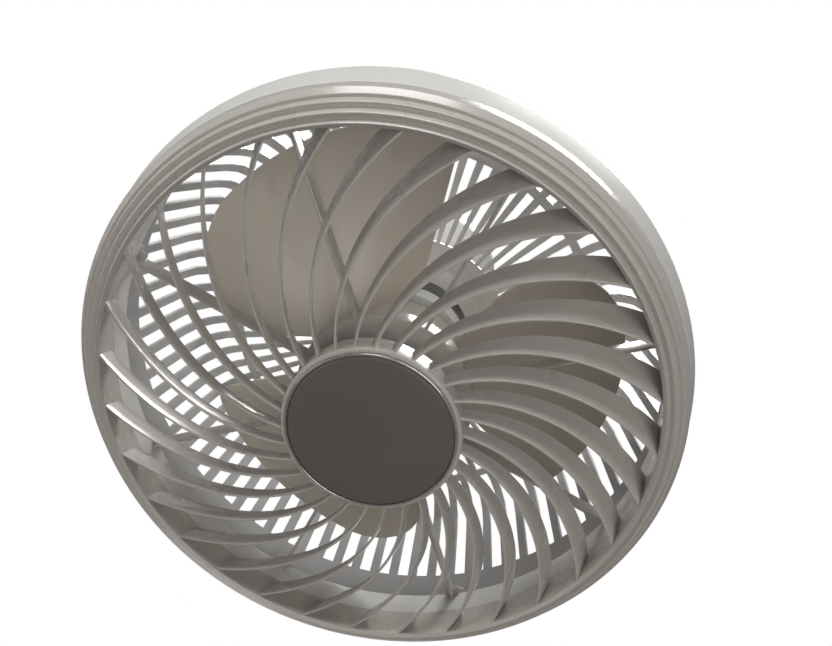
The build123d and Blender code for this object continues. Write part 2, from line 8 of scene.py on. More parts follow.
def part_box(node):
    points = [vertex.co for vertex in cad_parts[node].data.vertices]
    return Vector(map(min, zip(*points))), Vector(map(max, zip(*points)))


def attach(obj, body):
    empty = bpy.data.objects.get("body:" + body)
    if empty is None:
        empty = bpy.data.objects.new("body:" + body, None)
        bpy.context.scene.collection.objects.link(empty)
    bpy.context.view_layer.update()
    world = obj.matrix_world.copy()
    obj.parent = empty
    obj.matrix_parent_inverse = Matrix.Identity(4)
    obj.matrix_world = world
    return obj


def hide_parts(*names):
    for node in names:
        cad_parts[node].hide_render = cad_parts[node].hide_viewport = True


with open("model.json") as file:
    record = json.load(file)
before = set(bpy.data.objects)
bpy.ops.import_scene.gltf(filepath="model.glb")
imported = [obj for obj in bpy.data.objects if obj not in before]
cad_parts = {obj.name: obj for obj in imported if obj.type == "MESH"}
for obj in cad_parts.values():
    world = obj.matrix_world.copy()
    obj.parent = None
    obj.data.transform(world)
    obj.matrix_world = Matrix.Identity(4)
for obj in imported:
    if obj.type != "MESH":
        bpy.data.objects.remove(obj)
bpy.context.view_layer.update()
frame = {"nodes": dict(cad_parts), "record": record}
scene = bpy.context.scene
print("frame loaded:", len(frame["nodes"]), "nodes")

# Sizes of the pieces are in millimetres and degrees, and depths go up from the grille's lip
mm = 0.001
rimDepth = 18
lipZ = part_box("front_shell")[0].z - rimDepth * mm
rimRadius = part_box("front_grille")[1].x / mm
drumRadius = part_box("front_shell")[1].x / mm
bodyDepth = (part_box("rear_guard")[1].z - lipZ) / mm


def at(depth):
    return lipZ + depth * mm


# Mesh helpers

meshing = {"weld": 1e-6, "sharpAngle": 38, "cornerReach": 0.48, "cornerSteps": 4, "bevelSteps": 2}


def dress(piece, slot):
    piece.data.materials.clear()
    piece.data.materials.append(finishes[slot])
    for face in piece.data.polygons:
        face.material_index = 0


def finishMesh(name, verts, faces, body, slot, replaced):
    mesh = bpy.data.meshes.new(name)
    mesh.from_pydata(verts, [], faces)
    build = bmesh.new()
    build.from_mesh(mesh)
    bmesh.ops.remove_doubles(build, verts=build.verts, dist=meshing["weld"])
    bmesh.ops.recalc_face_normals(build, faces=build.faces)
    build.to_mesh(mesh)
    build.free()
    for face in mesh.polygons:
        face.use_smooth = True
    mesh.set_sharp_from_angle(angle=math.radians(meshing["sharpAngle"]))
    piece = bpy.data.objects.new(name, mesh)
    scene.collection.objects.link(piece)
    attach(piece, body)
    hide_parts(*replaced)
    dress(piece, slot)


def rounded(points, closed=True, steps=meshing["cornerSteps"]):
    # Each point is (radius, depth) or (radius, depth, corner radius); such corners become short curves
    out = []
    count = len(points)
    for i, point in enumerate(points):
        corner = Vector(point[:2])
        radius = point[2] if len(point) > 2 else 0
        if radius <= 0 or (not closed and i in (0, count - 1)):
            out.append(corner)
            continue
        before = Vector(points[i - 1][:2]) - corner
        after = Vector(points[(i + 1) % count][:2]) - corner
        half = before.angle(after) / 2
        most = min(before.length, after.length) * meshing["cornerReach"]
        reach = min(radius / math.tan(half), most)
        start = corner + before.normalized() * reach
        end = corner + after.normalized() * reach
        for k in range(steps + 1):
            t = k / steps
            out.append(start * (1 - t) ** 2 + corner * 2 * t * (1 - t) + end * t ** 2)
    return out


def lathe(profile, segments, closed=True):
    # Revolves a profile of (radius, depth) about the fan's axis
    verts, faces = [], []
    for i in range(segments):
        angle = math.radians(360 * i / segments)
        for r, d in profile:
            verts.append((r * mm * math.cos(angle), r * mm * math.sin(angle), lipZ + d * mm))
    n = len(profile)
    for i in range(segments):
        a, b = i * n, ((i + 1) % segments) * n
        for j in range(n if closed else n - 1):
            k = (j + 1) % n
            faces.append((a + j, a + k, b + k, b + j))
    return verts, faces


def join(parts):
    verts, faces = [], []
    for partVerts, partFaces in parts:
        shift = len(verts)
        verts += partVerts
        faces += [tuple(i + shift for i in face) for face in partFaces]
    return verts, faces


def moved(part, matrix):
    return [tuple(matrix @ Vector(v)) for v in part[0]], part[1]


def turned(part, angle):
    return moved(part, Matrix.Rotation(math.radians(angle), 4, "Z"))


def ringOf(part, count, first, radius):
    # Copies of an upright part, set on a circle about the axis
    copies = []
    for k in range(count):
        angle = math.radians(first + 360 * k / count)
        place = Matrix.Translation((radius * mm * math.cos(angle), radius * mm * math.sin(angle), 0))
        copies.append(moved(part, place))
    return copies


def tubeOf(sections):
    # Skin over equal rings of points, closed at both ends
    verts = [v for section in sections for v in section]
    n = len(sections[0])
    faces = []
    for i in range(len(sections) - 1):
        a, b = i * n, (i + 1) * n
        faces += [(a + j, a + (j + 1) % n, b + (j + 1) % n, b + j) for j in range(n)]
    faces.append(tuple(range(n))[::-1])
    faces.append(tuple(range(len(verts) - n, len(verts))))
    return verts, faces


def softBox(low, high, bevel):
    # Block in millimetres with rounded edges; heights are depths
    build = bmesh.new()
    bmesh.ops.create_cube(build, size=1)
    size = Vector(high) - Vector(low)
    middle = (Vector(high) + Vector(low)) / 2
    for v in build.verts:
        v.co = Vector((v.co.x * size.x, v.co.y * size.y, v.co.z * size.z)) + middle
    bmesh.ops.bevel(build, geom=build.edges[:], offset=bevel, segments=meshing["bevelSteps"],
                    profile=0.5, affect="EDGES")
    build.verts.index_update()
    verts = [(v.co.x * mm, v.co.y * mm, lipZ + v.co.z * mm) for v in build.verts]
    faces = [tuple(v.index for v in face.verts) for face in build.faces]
    build.free()
    return verts, faces


# Shared shader effects, each a node group

def newGroup(name, inputs, outputs):
    group = bpy.data.node_groups.new(name, "ShaderNodeTree")
    for label, kind, value in inputs:
        socket = group.interface.new_socket(name=label, in_out="INPUT", socket_type=kind)
        socket.default_value = value
    for label, kind in outputs:
        group.interface.new_socket(name=label, in_out="OUTPUT", socket_type=kind)
    enter = group.nodes.new("NodeGroupInput")
    leave = group.nodes.new("NodeGroupOutput")
    return group, group.nodes, group.links, enter, leave


def mathNode(nodes, links, operation, first, second):
    node = nodes.new("ShaderNodeMath")
    node.operation = operation
    for socket, value in zip(node.inputs, (first, second)):
        if isinstance(value, (int, float)):
            socket.default_value = value
        else:
            links.new(value, socket)
    return node.outputs[0]


def raised(nodes, links, base, mask, amount):
    # Base value plus a share of a mask
    return mathNode(nodes, links, "ADD", base, mathNode(nodes, links, "MULTIPLY", mask, amount))


def varied(nodes, links, base, pattern, amount):
    # Base value that a noise moves up and down
    return raised(nodes, links, base, mathNode(nodes, links, "SUBTRACT", pattern, 0.5), amount)


def mixColors(nodes, links, factor, first, second):
    node = nodes.new("ShaderNodeMix")
    node.data_type = "RGBA"
    sockets = (node.inputs[0], node.inputs[6], node.inputs[7])  # factor and the two colours
    for socket, value in zip(sockets, (factor, first, second)):
        if isinstance(value, bpy.types.NodeSocket):
            links.new(value, socket)
        else:
            socket.default_value = value
    return node.outputs[2]


def ramp(nodes, links, value, low, high):
    node = nodes.new("ShaderNodeMapRange")
    node.interpolation_type = "SMOOTHSTEP"
    links.new(value, node.inputs["Value"])
    node.inputs["From Min"].default_value = low
    node.inputs["From Max"].default_value = high
    return node.outputs["Result"]


def noise(nodes, links, place, scale, detail):
    node = nodes.new("ShaderNodeTexNoise")
    node.inputs["Detail"].default_value = detail
    links.new(place, node.inputs["Vector"])
    if isinstance(scale, (int, float)):
        node.inputs["Scale"].default_value = scale
    else:
        links.new(scale, node.inputs["Scale"])
    return node.outputs["Fac"]


skin = {
    "cloudScale": 14.0, "cloudDetail": 4, "cloudFrom": 0.35, "cloudTo": 0.7,
    "upFrom": 0.5, "upTo": 1.0, "dustColor": (0.42, 0.39, 0.34, 1), "dustRough": 0.4,
    "speckleScale": 260.0, "speckleDetail": 6, "speckleFrom": 0.42, "speckleTo": 0.62, "grainDetail": 2,
    "wipeScale": 32.0, "wipeDetail": 5, "wipeRough": 0.12,
}


def makeMouldGroup():
    # Moulded plastic: cloudy tone, fine skin texture, thin dust on what faces up
    group, nodes, links, enter, leave = newGroup(
        "mouldedSkin",
        [("Color", "NodeSocketColor", (0.7, 0.7, 0.7, 1)),
         ("Shade Color", "NodeSocketColor", (0.6, 0.6, 0.6, 1)),
         ("Clouds", "NodeSocketFloat", 0.5), ("Roughness", "NodeSocketFloat", 0.35),
         ("Grain Scale", "NodeSocketFloat", 900.0), ("Dust", "NodeSocketFloat", 0.15)],
        [("Color", "NodeSocketColor"), ("Roughness", "NodeSocketFloat"), ("Height", "NodeSocketFloat")],
    )
    place = nodes.new("ShaderNodeTexCoord").outputs["Object"]
    cloudy = noise(nodes, links, place, skin["cloudScale"], skin["cloudDetail"])
    clouds = ramp(nodes, links, cloudy, skin["cloudFrom"], skin["cloudTo"])
    amount = mathNode(nodes, links, "MULTIPLY", clouds, enter.outputs["Clouds"])
    base = mixColors(nodes, links, amount, enter.outputs["Color"], enter.outputs["Shade Color"])
    facing = nodes.new("ShaderNodeSeparateXYZ")
    links.new(nodes.new("ShaderNodeTexCoord").outputs["Normal"], facing.inputs[0])
    up = ramp(nodes, links, facing.outputs["Z"], skin["upFrom"], skin["upTo"])
    specks = noise(nodes, links, place, skin["speckleScale"], skin["speckleDetail"])
    speckle = ramp(nodes, links, specks, skin["speckleFrom"], skin["speckleTo"])
    lying = mathNode(nodes, links, "MULTIPLY", up, speckle)
    dust = mathNode(nodes, links, "MULTIPLY", lying, enter.outputs["Dust"])
    color = mixColors(nodes, links, dust, base, skin["dustColor"])
    grain = noise(nodes, links, place, enter.outputs["Grain Scale"], skin["grainDetail"])
    wipe = noise(nodes, links, place, skin["wipeScale"], skin["wipeDetail"])
    rough = varied(nodes, links, enter.outputs["Roughness"], wipe, skin["wipeRough"])
    rough = raised(nodes, links, rough, dust, skin["dustRough"])
    links.new(color, leave.inputs["Color"])
    links.new(rough, leave.inputs["Roughness"])
    links.new(grain, leave.inputs["Height"])
    return group


worked = {
    "patchScale": 60.0, "patchDetail": 5, "patchFrom": 0.45, "patchTo": 0.7,
    "stretch": (0.06, 0.06, 1.0), "lineDetail": 3, "lineRough": 0.25, "tarnishRough": 0.3,
}


def makeMetalGroup():
    # Metal: turned or brushed lines along one axis, with tarnish in patches
    group, nodes, links, enter, leave = newGroup(
        "workedMetal",
        [("Color", "NodeSocketColor", (0.6, 0.6, 0.6, 1)),
         ("Tarnish Color", "NodeSocketColor", (0.4, 0.38, 0.35, 1)),
         ("Tarnish", "NodeSocketFloat", 0.4), ("Roughness", "NodeSocketFloat", 0.3),
         ("Line Scale", "NodeSocketFloat", 700.0)],
        [("Color", "NodeSocketColor"), ("Roughness", "NodeSocketFloat"), ("Height", "NodeSocketFloat")],
    )
    place = nodes.new("ShaderNodeTexCoord").outputs["Object"]
    stained = noise(nodes, links, place, worked["patchScale"], worked["patchDetail"])
    patches = ramp(nodes, links, stained, worked["patchFrom"], worked["patchTo"])
    tarnish = mathNode(nodes, links, "MULTIPLY", patches, enter.outputs["Tarnish"])
    stretch = nodes.new("ShaderNodeMapping")
    stretch.inputs["Scale"].default_value = worked["stretch"]
    links.new(place, stretch.inputs["Vector"])
    lines = noise(nodes, links, stretch.outputs["Vector"], enter.outputs["Line Scale"], worked["lineDetail"])
    color = mixColors(nodes, links, tarnish, enter.outputs["Color"], enter.outputs["Tarnish Color"])
    rough = varied(nodes, links, enter.outputs["Roughness"], lines, worked["lineRough"])
    rough = raised(nodes, links, rough, tarnish, worked["tarnishRough"])
    links.new(color, leave.inputs["Color"])
    links.new(rough, leave.inputs["Roughness"])
    links.new(lines, leave.inputs["Height"])
    return group


mouldedSkin = makeMouldGroup()
workedMetal = makeMetalGroup()


gloss = {"coatRough": 0.12, "sheenRough": 0.35, "bumpReach": 0.0002}


def newMaterial(name, group, values, bump, metallic=0.0, coat=0.0, sheen=0.0):
    material = bpy.data.materials.new(name)
    material.use_nodes = True
    nodes, links = material.node_tree.nodes, material.node_tree.links
    shader = nodes["Principled BSDF"]
    effect = nodes.new("ShaderNodeGroup")
    effect.node_tree = group
    for label, value in values.items():
        effect.inputs[label].default_value = value
    links.new(effect.outputs["Color"], shader.inputs["Base Color"])
    links.new(effect.outputs["Roughness"], shader.inputs["Roughness"])
    relief = nodes.new("ShaderNodeBump")
    relief.inputs["Strength"].default_value = bump
    relief.inputs["Distance"].default_value = gloss["bumpReach"]
    links.new(effect.outputs["Height"], relief.inputs["Height"])
    links.new(relief.outputs["Normal"], shader.inputs["Normal"])
    shader.inputs["Metallic"].default_value = metallic
    shader.inputs["Coat Weight"].default_value = coat
    shader.inputs["Coat Roughness"].default_value = gloss["coatRough"]
    if sheen:
        shader.inputs["Sheen Weight"].default_value = sheen
        shader.inputs["Sheen Roughness"].default_value = gloss["sheenRough"]
    return material


def plastic(name, color, shade, rough, clouds=0.5, dust=0.3, bump=0.1, coat=0.1, grain=900.0, sheen=0.0):
    values = {"Color": (*color, 1), "Shade Color": (*shade, 1), "Clouds": clouds, "Roughness": rough,
              "Grain Scale": grain, "Dust": dust}
    return newMaterial(name, mouldedSkin, values, bump, coat=coat, sheen=sheen)


def metal(name, color, tarnishColor, rough, tarnish=0.4, lines=700.0, bump=0.15):
    values = {"Color": (*color, 1), "Tarnish Color": (*tarnishColor, 1), "Tarnish": tarnish,
              "Roughness": rough, "Line Scale": lines}
    return newMaterial(name, workedMetal, values, bump, metallic=1.0)


# Each plastic has its colour, the colour of its clouds and its roughness, each metal that of its tarnish
finishes = {
    "grille_plastic": plastic("grillePlastic", (0.55, 0.515, 0.485), (0.53, 0.495, 0.465), 0.28,
                              dust=0.25, bump=0.08, coat=0.45, sheen=0.15),
    "shell_plastic": plastic("shellPlastic", (0.72, 0.72, 0.695), (0.70, 0.70, 0.675), 0.42,
                             clouds=0.4, dust=0.2, coat=0.05),
    "guard_plastic": plastic("guardPlastic", (0.63, 0.63, 0.64), (0.61, 0.61, 0.62), 0.34, clouds=0.4),
    "cap_grey": plastic("capGrey", (0.145, 0.139, 0.134), (0.135, 0.129, 0.124), 0.38,
                        dust=0.05, bump=0.35, coat=0.15, grain=1500.0),
    "blade_plastic": plastic("bladePlastic", (0.60, 0.55, 0.475), (0.58, 0.53, 0.455), 0.33, coat=0.15),
    "cover_plastic": plastic("coverPlastic", (0.72, 0.72, 0.70), (0.66, 0.66, 0.64), 0.36,
                             clouds=0.4, dust=0.35, bump=0.14),
    "white_enamel": plastic("whiteEnamel", (0.74, 0.74, 0.73), (0.69, 0.69, 0.68), 0.25,
                            clouds=0.3, dust=0.2, bump=0.2, coat=0.5, grain=420.0),
    "black_plastic": plastic("blackPlastic", (0.03, 0.03, 0.032), (0.045, 0.045, 0.047), 0.42,
                             bump=0.5, coat=0.0, grain=1300.0),
    "capacitor_plastic": plastic("capacitorPlastic", (0.12, 0.13, 0.14), (0.1, 0.1, 0.11), 0.4,
                                 bump=0.3, coat=0.0),
    "motor_alloy": plastic("motorPaint", (0.76, 0.77, 0.77), (0.72, 0.73, 0.73), 0.38,
                           dust=0.4, bump=0.35, grain=420.0),
    "silver_trim": metal("silverTrim", (0.78, 0.77, 0.76), (0.6, 0.59, 0.57), 0.14,
                         tarnish=0.3, lines=900.0, bump=0.05),
    "zinc_steel": metal("zincSteel", (0.58, 0.58, 0.56), (0.36, 0.35, 0.32), 0.32),
    "bearing_steel": metal("bearingSteel", (0.62, 0.62, 0.64), (0.45, 0.44, 0.43), 0.18),
    "core_steel": metal("coreSteel", (0.22, 0.22, 0.235), (0.16, 0.12, 0.1), 0.45,
                        tarnish=0.5, lines=1800.0, bump=0.8),
    "copper_wire": metal("copperWire", (0.60, 0.24, 0.09), (0.34, 0.12, 0.05), 0.3,
                         tarnish=0.5, lines=900.0, bump=0.3),
}

slotOf = {part["node"]: part["material_slot"] for part in frame["record"]["subparts"]}
for name, node in frame["nodes"].items():
    dress(node, slotOf[name])
print("materials made:", len(finishes))


# Bezel, slats, hub ring and post: one moulding

grille = {
    "bore": 158, "draft": 10, "wall": 2, "wallDepth": 26, "segments": 256,
    # Ridges across the bezel: from, to, depth at each end, all outward from the bore
    "ridges": [(0.8, 2.6, -0.6, -0.4), (5.0, 6.9, 0.6, 1.4), (9.3, 11.0, 3.6, 4.8)],
    "grooveRun": 0.9, "grooveDepth": 3.4, "shoulder": 0.9, "crest": 0.5, "boreEdge": 1.8,
    "ridgeRound": 1.2, "crestRound": 2, "grooveRound": 0.5, "bead": (1.2, 0.6), "rimStep": (1.4, 2.8),
    "boreRound": 0.4, "beadRound": 0.6, "rimRound": 1.8, "rimBackRound": 0.3,
    "under": 9.4, "corner": 3, "root": 4.8, "cornerRound": 1.5, "rootRound": 1,
    "slats": 30, "slatThick": 1.8, "slatSwirl": 0.368, "slatPhase": 5.0, "slatLean": 0.2, "slatSteps": 26,
    # Flat nose in front with small cut corners, two sides, and an edge behind that narrows
    "noseThin": 0.66, "noseEdge": 0.22, "noseCut": 0.3, "sideStations": (0.3, 0.66),
    "backWide": 0.8, "backFlat": 0.5, "backRound": 0.3,
    "frontHub": 0.8, "frontWall": 2.2, "highHub": 8.7, "highWall": 19.8,
    "hubRing": 52, "hubRingThick": 2.5, "hubFront": -1, "hubBack": 14, "hubSegments": 96,
    "floor": 6, "floorThick": 2.5, "postRadius": 9, "postBack": 39,
    "floorRound": 0.4, "hubInRound": 0.6, "hubOutRound": 1.2, "edgeRound": 0.5, "postRound": 1,
    "bosses": 6, "bossAt": 12.5, "bossRing": 169, "bossRadius": 3.5, "bossFront": 9.2, "bossRound": 0.3,
    "bossSegments": 16,
}


def wallRadius(depth):
    return grille["bore"] + depth * math.tan(math.radians(grille["draft"]))


def bezelProfile():
    # Half-round ridges with narrow grooves between them, then the round down to the rim
    bore, wall, back = grille["bore"], grille["wall"], grille["wallDepth"]
    front = [(bore, grille["ridges"][0][2] + grille["boreEdge"], grille["boreRound"])]
    shoulder, crest, groove = grille["shoulder"], grille["crest"], grille["grooveRound"]
    for start, end, depthIn, depthOut in grille["ridges"]:
        front.append((bore + start, depthIn + shoulder, grille["ridgeRound"]))
        front.append((bore + (start + end) / 2, (depthIn + depthOut) / 2 - crest, grille["crestRound"]))
        front.append((bore + end, depthOut + shoulder, grille["ridgeRound"]))
        front.append((bore + end + grille["grooveRun"], depthOut + grille["grooveDepth"], groove))
    lastRadius, lastDepth = front[-1][:2]
    beadOut, beadUp = grille["bead"]
    rimIn, rimDown = grille["rimStep"]
    front.append((lastRadius + beadOut, lastDepth - beadUp, grille["beadRound"]))
    front.append((rimRadius - rimIn, lastDepth + rimDown, grille["rimRound"]))
    front.append((rimRadius, rimDepth, grille["rimBackRound"]))
    under = [
        (rimRadius - wall, rimDepth),
        (rimRadius - wall - grille["corner"], grille["under"], grille["cornerRound"]),
        (wallRadius(grille["root"]) + wall, grille["root"], grille["rootRound"]),
        (wallRadius(back) + wall, back), (wallRadius(back), back),
    ]
    return rounded(front + under)


def slatPoint(r, depth, offset, phase):
    angle = math.radians(phase + grille["slatSwirl"] * (r - grille["hubRing"]) - grille["slatLean"] * depth)
    heading = angle + math.atan(r * math.radians(grille["slatSwirl"]))
    return (
        (r * math.cos(angle) - offset * math.sin(heading)) * mm,
        (r * math.sin(angle) + offset * math.cos(heading)) * mm,
        at(depth),
    )


def slatOutline(front, back):
    # Outline across a slat as (offset, depth): its nose, one side, its back edge, the other side
    half = grille["slatThick"] / 2
    tip, edge, cut = half * grille["noseThin"], grille["noseEdge"], grille["noseCut"]
    near, far = grille["sideStations"]
    nose = [(tip, edge), (tip - cut * edge, cut * edge), (tip - edge, 0), (edge - tip, 0),
            (cut * edge - tip, cut * edge), (-tip, edge)]
    outline = [(offset, front + rise) for offset, rise in nose]
    outline += [(-half, front + (back - front) * t) for t in (near, far)]
    wide, flat, turn = half * grille["backWide"], half * grille["backFlat"], back - grille["backRound"]
    outline += [(-wide, turn), (-flat, back), (flat, back), (wide, turn)]
    outline += [(half, front + (back - front) * t) for t in (far, near)]
    return outline


def slat(phase):
    # One slat from the hub ring to the wall, reaching deeper towards the wall
    inner = grille["hubRing"] - grille["hubRingThick"] / 2
    sections = []
    for i in range(grille["slatSteps"] + 1):
        share = i / grille["slatSteps"]
        front = grille["frontHub"] + (grille["frontWall"] - grille["frontHub"]) * share
        back = grille["frontHub"] + grille["highHub"]
        back += (grille["frontWall"] + grille["highWall"] - back) * share
        section = []
        for offset, depth in slatOutline(front, back):
            outer = wallRadius(depth) + grille["wall"] / 2
            section.append(slatPoint(inner + (outer - inner) * share, depth, offset, phase))
        sections.append(section)
    return tubeOf(sections)


def hubProfile():
    # Ring, its floor behind the disc and the post towards the spider
    ring, back, post = grille["hubRing"], grille["hubBack"], grille["postRadius"]
    inside, floor = ring - grille["hubRingThick"], grille["floor"]
    behind, soft = floor + grille["floorThick"], grille["edgeRound"]
    return rounded([
        (0, floor), (inside, floor, grille["floorRound"]),
        (inside, grille["hubFront"], grille["hubInRound"]), (ring, grille["hubFront"], grille["hubOutRound"]),
        (ring, back, soft), (inside, back, soft), (inside, behind, soft),
        (post, behind, grille["postRound"]), (post, grille["postBack"], soft), (0, grille["postBack"]),
    ], closed=False)


def makeGrille():
    parts = [lathe(bezelProfile(), grille["segments"])]
    parts.append(lathe(hubProfile(), grille["hubSegments"], closed=False))
    for k in range(grille["slats"]):
        parts.append(slat(grille["slatPhase"] + 360 * k / grille["slats"]))
    front, back, radius = grille["bossFront"], grille["wallDepth"], grille["bossRadius"]
    edge = grille["bossRound"]
    bossOutline = rounded([(0, front), (radius, front), (radius, back, edge), (0, back)], closed=False)
    boss = lathe(bossOutline, grille["bossSegments"], closed=False)
    parts += ringOf(boss, grille["bosses"], grille["bossAt"], grille["bossRing"])
    finishMesh("grilleMoulding", *join(parts), "housing", "grille_plastic", ["front_grille"])


makeGrille()
print("grille made")


# Disc in the hub and the bright ring round it

hubDisc = {
    "radius": 48.0, "front": -3, "back": 6, "segments": 160,
    # The front is slightly domed: fall at a third, at two thirds and at the edge
    "falls": (0.03, 0.1, 0.22), "edge": 1.2, "edgeDrop": 1.4, "edgeRound": 0.5,
    "rim": 2, "rimInside": 2.6, "rimRound": 1, "thick": 2.2,
    "trimOut": 49.45, "trimFront": -2.5, "trimThick": 1.4, "trimRound": 0.5,
}


def makeHubDisc():
    r, front, back = hubDisc["radius"], hubDisc["front"], hubDisc["back"]
    near, far, last = hubDisc["falls"]
    soft, inside = hubDisc["edgeRound"], r - hubDisc["rim"]
    profile = rounded([
        (0, front), (r / 3, front + near), (r * 2 / 3, front + far),
        (r - hubDisc["edge"], front + last, soft), (r, front + hubDisc["edgeDrop"], soft), (r, back),
        (inside, back), (inside, front + hubDisc["rimInside"], hubDisc["rimRound"]),
        (0, front + hubDisc["thick"]),
    ], closed=False)
    disc = lathe(profile, hubDisc["segments"], closed=False)
    finishMesh("hubDisc", *disc, "housing", "cap_grey", ["hub_cap"])
    out, low, soft = hubDisc["trimOut"], hubDisc["trimFront"], hubDisc["trimRound"]
    within = out - hubDisc["trimThick"]
    trim = rounded([(within, low, soft), (out, low, soft), (out, back), (within, back)])
    finishMesh("hubTrimRing", *lathe(trim, hubDisc["segments"]), "housing", "silver_trim", ["hub_trim"])


makeHubDisc()
print("hub made")


# Drum shell with the duct's liner

shell = {
    "depth": 47, "backRadius": 180.6, "belly": 36, "wall": 2, "web": 26, "webThick": 2, "segments": 256,
    "rimRound": 0.4, "bellyRound": 9, "edgeRound": 0.3, "webRound": 0.6, "linerRound": 0.25, "cornerSteps": 5,
    "bosses": 8, "bossAt": 35, "bossRing": 172, "bossRadius": 4, "bossSunk": 1, "bossRound": 0.4,
    "bossSegments": 20,
}


def shellProfile():
    # Round outer wall, web behind the grille, and the duct's liner
    wall, web, depth = shell["wall"], shell["web"], shell["depth"]
    webBack = web + shell["webThick"]
    belly, soft, corner = shell["bellyRound"], shell["edgeRound"], shell["webRound"]
    slope = (drumRadius - rimRadius) / (shell["belly"] - rimDepth)
    outer = [
        (rimRadius, rimDepth, shell["rimRound"]), (drumRadius, shell["belly"], belly),
        (shell["backRadius"], depth, soft),
    ]
    inner = [
        (shell["backRadius"] - wall, depth, soft), (drumRadius - wall, shell["belly"], belly - wall),
        (rimRadius + slope * (webBack - rimDepth) - wall, webBack, corner),
        (wallRadius(webBack) + wall, webBack, corner), (wallRadius(depth) + wall, depth, soft),
        (wallRadius(depth), depth, soft), (wallRadius(web), web, shell["linerRound"]),
        (rimRadius + slope * (web - rimDepth) - wall, web), (rimRadius - wall, rimDepth),
    ]
    return rounded(outer + inner, steps=shell["cornerSteps"])


def makeShell():
    front, back, radius = shell["web"] + shell["bossSunk"], shell["depth"], shell["bossRadius"]
    edge = shell["bossRound"]
    bossOutline = rounded([(0, front), (radius, front), (radius, back, edge), (0, back)], closed=False)
    boss = lathe(bossOutline, shell["bossSegments"], closed=False)
    parts = [lathe(shellProfile(), shell["segments"])]
    parts += ringOf(boss, shell["bosses"], shell["bossAt"], shell["bossRing"])
    finishMesh("drumShell", *join(parts), "housing", "shell_plastic", ["front_shell"])


makeShell()
print("shell made")


# Spider behind the grille

spider = {
    "struts": 8, "at": 35, "thick": 1.8, "front": 39, "high": 12, "strutRound": 0.7,
    "strutSunk": 1.5, "wallGap": 0.3, "plate": 4, "rim": 55, "rimThick": 3, "segments": 96,
    "frontRound": 1, "backRound": 0.8, "plateRound": 1.2,
    "padThick": 3, "padWide": 10, "padEnd": 176, "padFront": 47, "padOver": 3, "padRound": 0.6,
}


def makeSpider():
    front, back, rim = spider["front"], spider["front"] + spider["high"], spider["rim"]
    inside, soft = rim - spider["rimThick"], spider["backRound"]
    plate = rounded([
        (0, front), (rim, front, spider["frontRound"]), (rim, back, soft), (inside, back, soft),
        (inside, front + spider["plate"], spider["plateRound"]), (0, front + spider["plate"]),
    ], closed=False)
    half, side, low = spider["thick"] / 2, spider["padWide"] / 2, spider["padFront"]
    end = wallRadius(front) - spider["wallGap"]
    strut = softBox((rim - spider["strutSunk"], -half, front), (end, half, back), spider["strutRound"])
    pad = softBox((end - spider["padOver"], -side, low), (spider["padEnd"], side, low + spider["padThick"]),
                  spider["padRound"])
    parts = [lathe(plate, spider["segments"], closed=False)]
    for k in range(spider["struts"]):
        angle = spider["at"] + 360 * k / spider["struts"]
        parts += [turned(strut, angle), turned(pad, angle)]
    finishMesh("strutSpider", *join(parts), "housing", "grille_plastic", ["spider"])


makeSpider()
print("spider made")


# Rear guard: bands and ribs of the basket

guard = {
    "front": 47, "edgeHigh": 1, "wall": 2.4, "bandBack": 76, "bandSegments": 256,
    # Outside of the basket from its front edge round to its back
    "line": [(180.6, 47), (176.4, 70, 30), (167, 124, 30), (163, 138, 14), (155, 148, 14), (146, 153, 12),
             (45, 153)],
    "lineSteps": 6,
    "ringOut": 137, "ringIn": 131, "segments": 144, "plateOut": 72, "plateIn": 45, "plateSegments": 96,
    "ribs": 72, "slotTurn": 2.7, "edge": 0.5, "ribSunk": 0.8, "flatStations": (110, 90), "ringRound": 0.6,
    "tabs": 8, "tabAt": 35, "tabIn": 166, "tabOut": 178.6, "tabWide": 14, "tabFront": 50, "tabThick": 2.5,
    "tabRound": 0.5,
}


def guardPath():
    # Middle line of the wall from the front edge round onto the back, with its inward normals
    half = guard["wall"] / 2
    outer = rounded(guard["line"], closed=False, steps=guard["lineSteps"])
    path = []
    for i, point in enumerate(outer):
        ahead = outer[min(i + 1, len(outer) - 1)] - outer[max(i - 1, 0)]
        inward = Vector((-ahead.y, ahead.x)).normalized()
        path.append((point + inward * half, inward))
    return path


def cutPath(path, low, high):
    # Stretch of the path between two stations given as functions of the point
    out = []
    for (a, na), (b, nb) in zip(path, path[1:]):
        for station in (low, high):
            va, vb = station(a), station(b)
            if (va < 0) != (vb < 0):
                t = va / (va - vb)
                out.append((a.lerp(b, t), na.lerp(nb, t).normalized()))
        if low(b) >= 0 and high(b) <= 0:
            out.append((b, nb))
    return out


def ribAlong(path, turn):
    # Rib of constant turn swept along the wall, its edges slightly cut
    half, edge = guard["wall"] / 2, guard["edge"]
    sections = []
    for point, inward in path:
        wide = point.x * math.tan(math.radians(turn / 2))
        outline = [(-wide + edge, -half), (wide - edge, -half), (wide, -half + edge), (wide, half - edge),
                   (wide - edge, half), (-wide + edge, half), (-wide, half - edge), (-wide, -half + edge)]
        section = []
        for side, rise in outline:
            place = point + inward * rise
            section.append((place.x * mm, side * mm, at(place.y)))
        sections.append(section)
    return tubeOf(sections)


def bandProfile(path):
    half = guard["wall"] / 2
    outside = [point - inward * half for point, inward in path]
    inside = [point + inward * half for point, inward in path]
    return outside + inside[::-1]


def bandPath(path):
    # Closed front band, from its straight front edge
    front, back = guard["front"], guard["bandBack"]
    edge = (Vector((guard["line"][0][0] - guard["wall"] / 2, front)), Vector((-1, 0)))
    return [edge] + cutPath(path, lambda p: p.y - front - guard["edgeHigh"], lambda p: p.y - back)


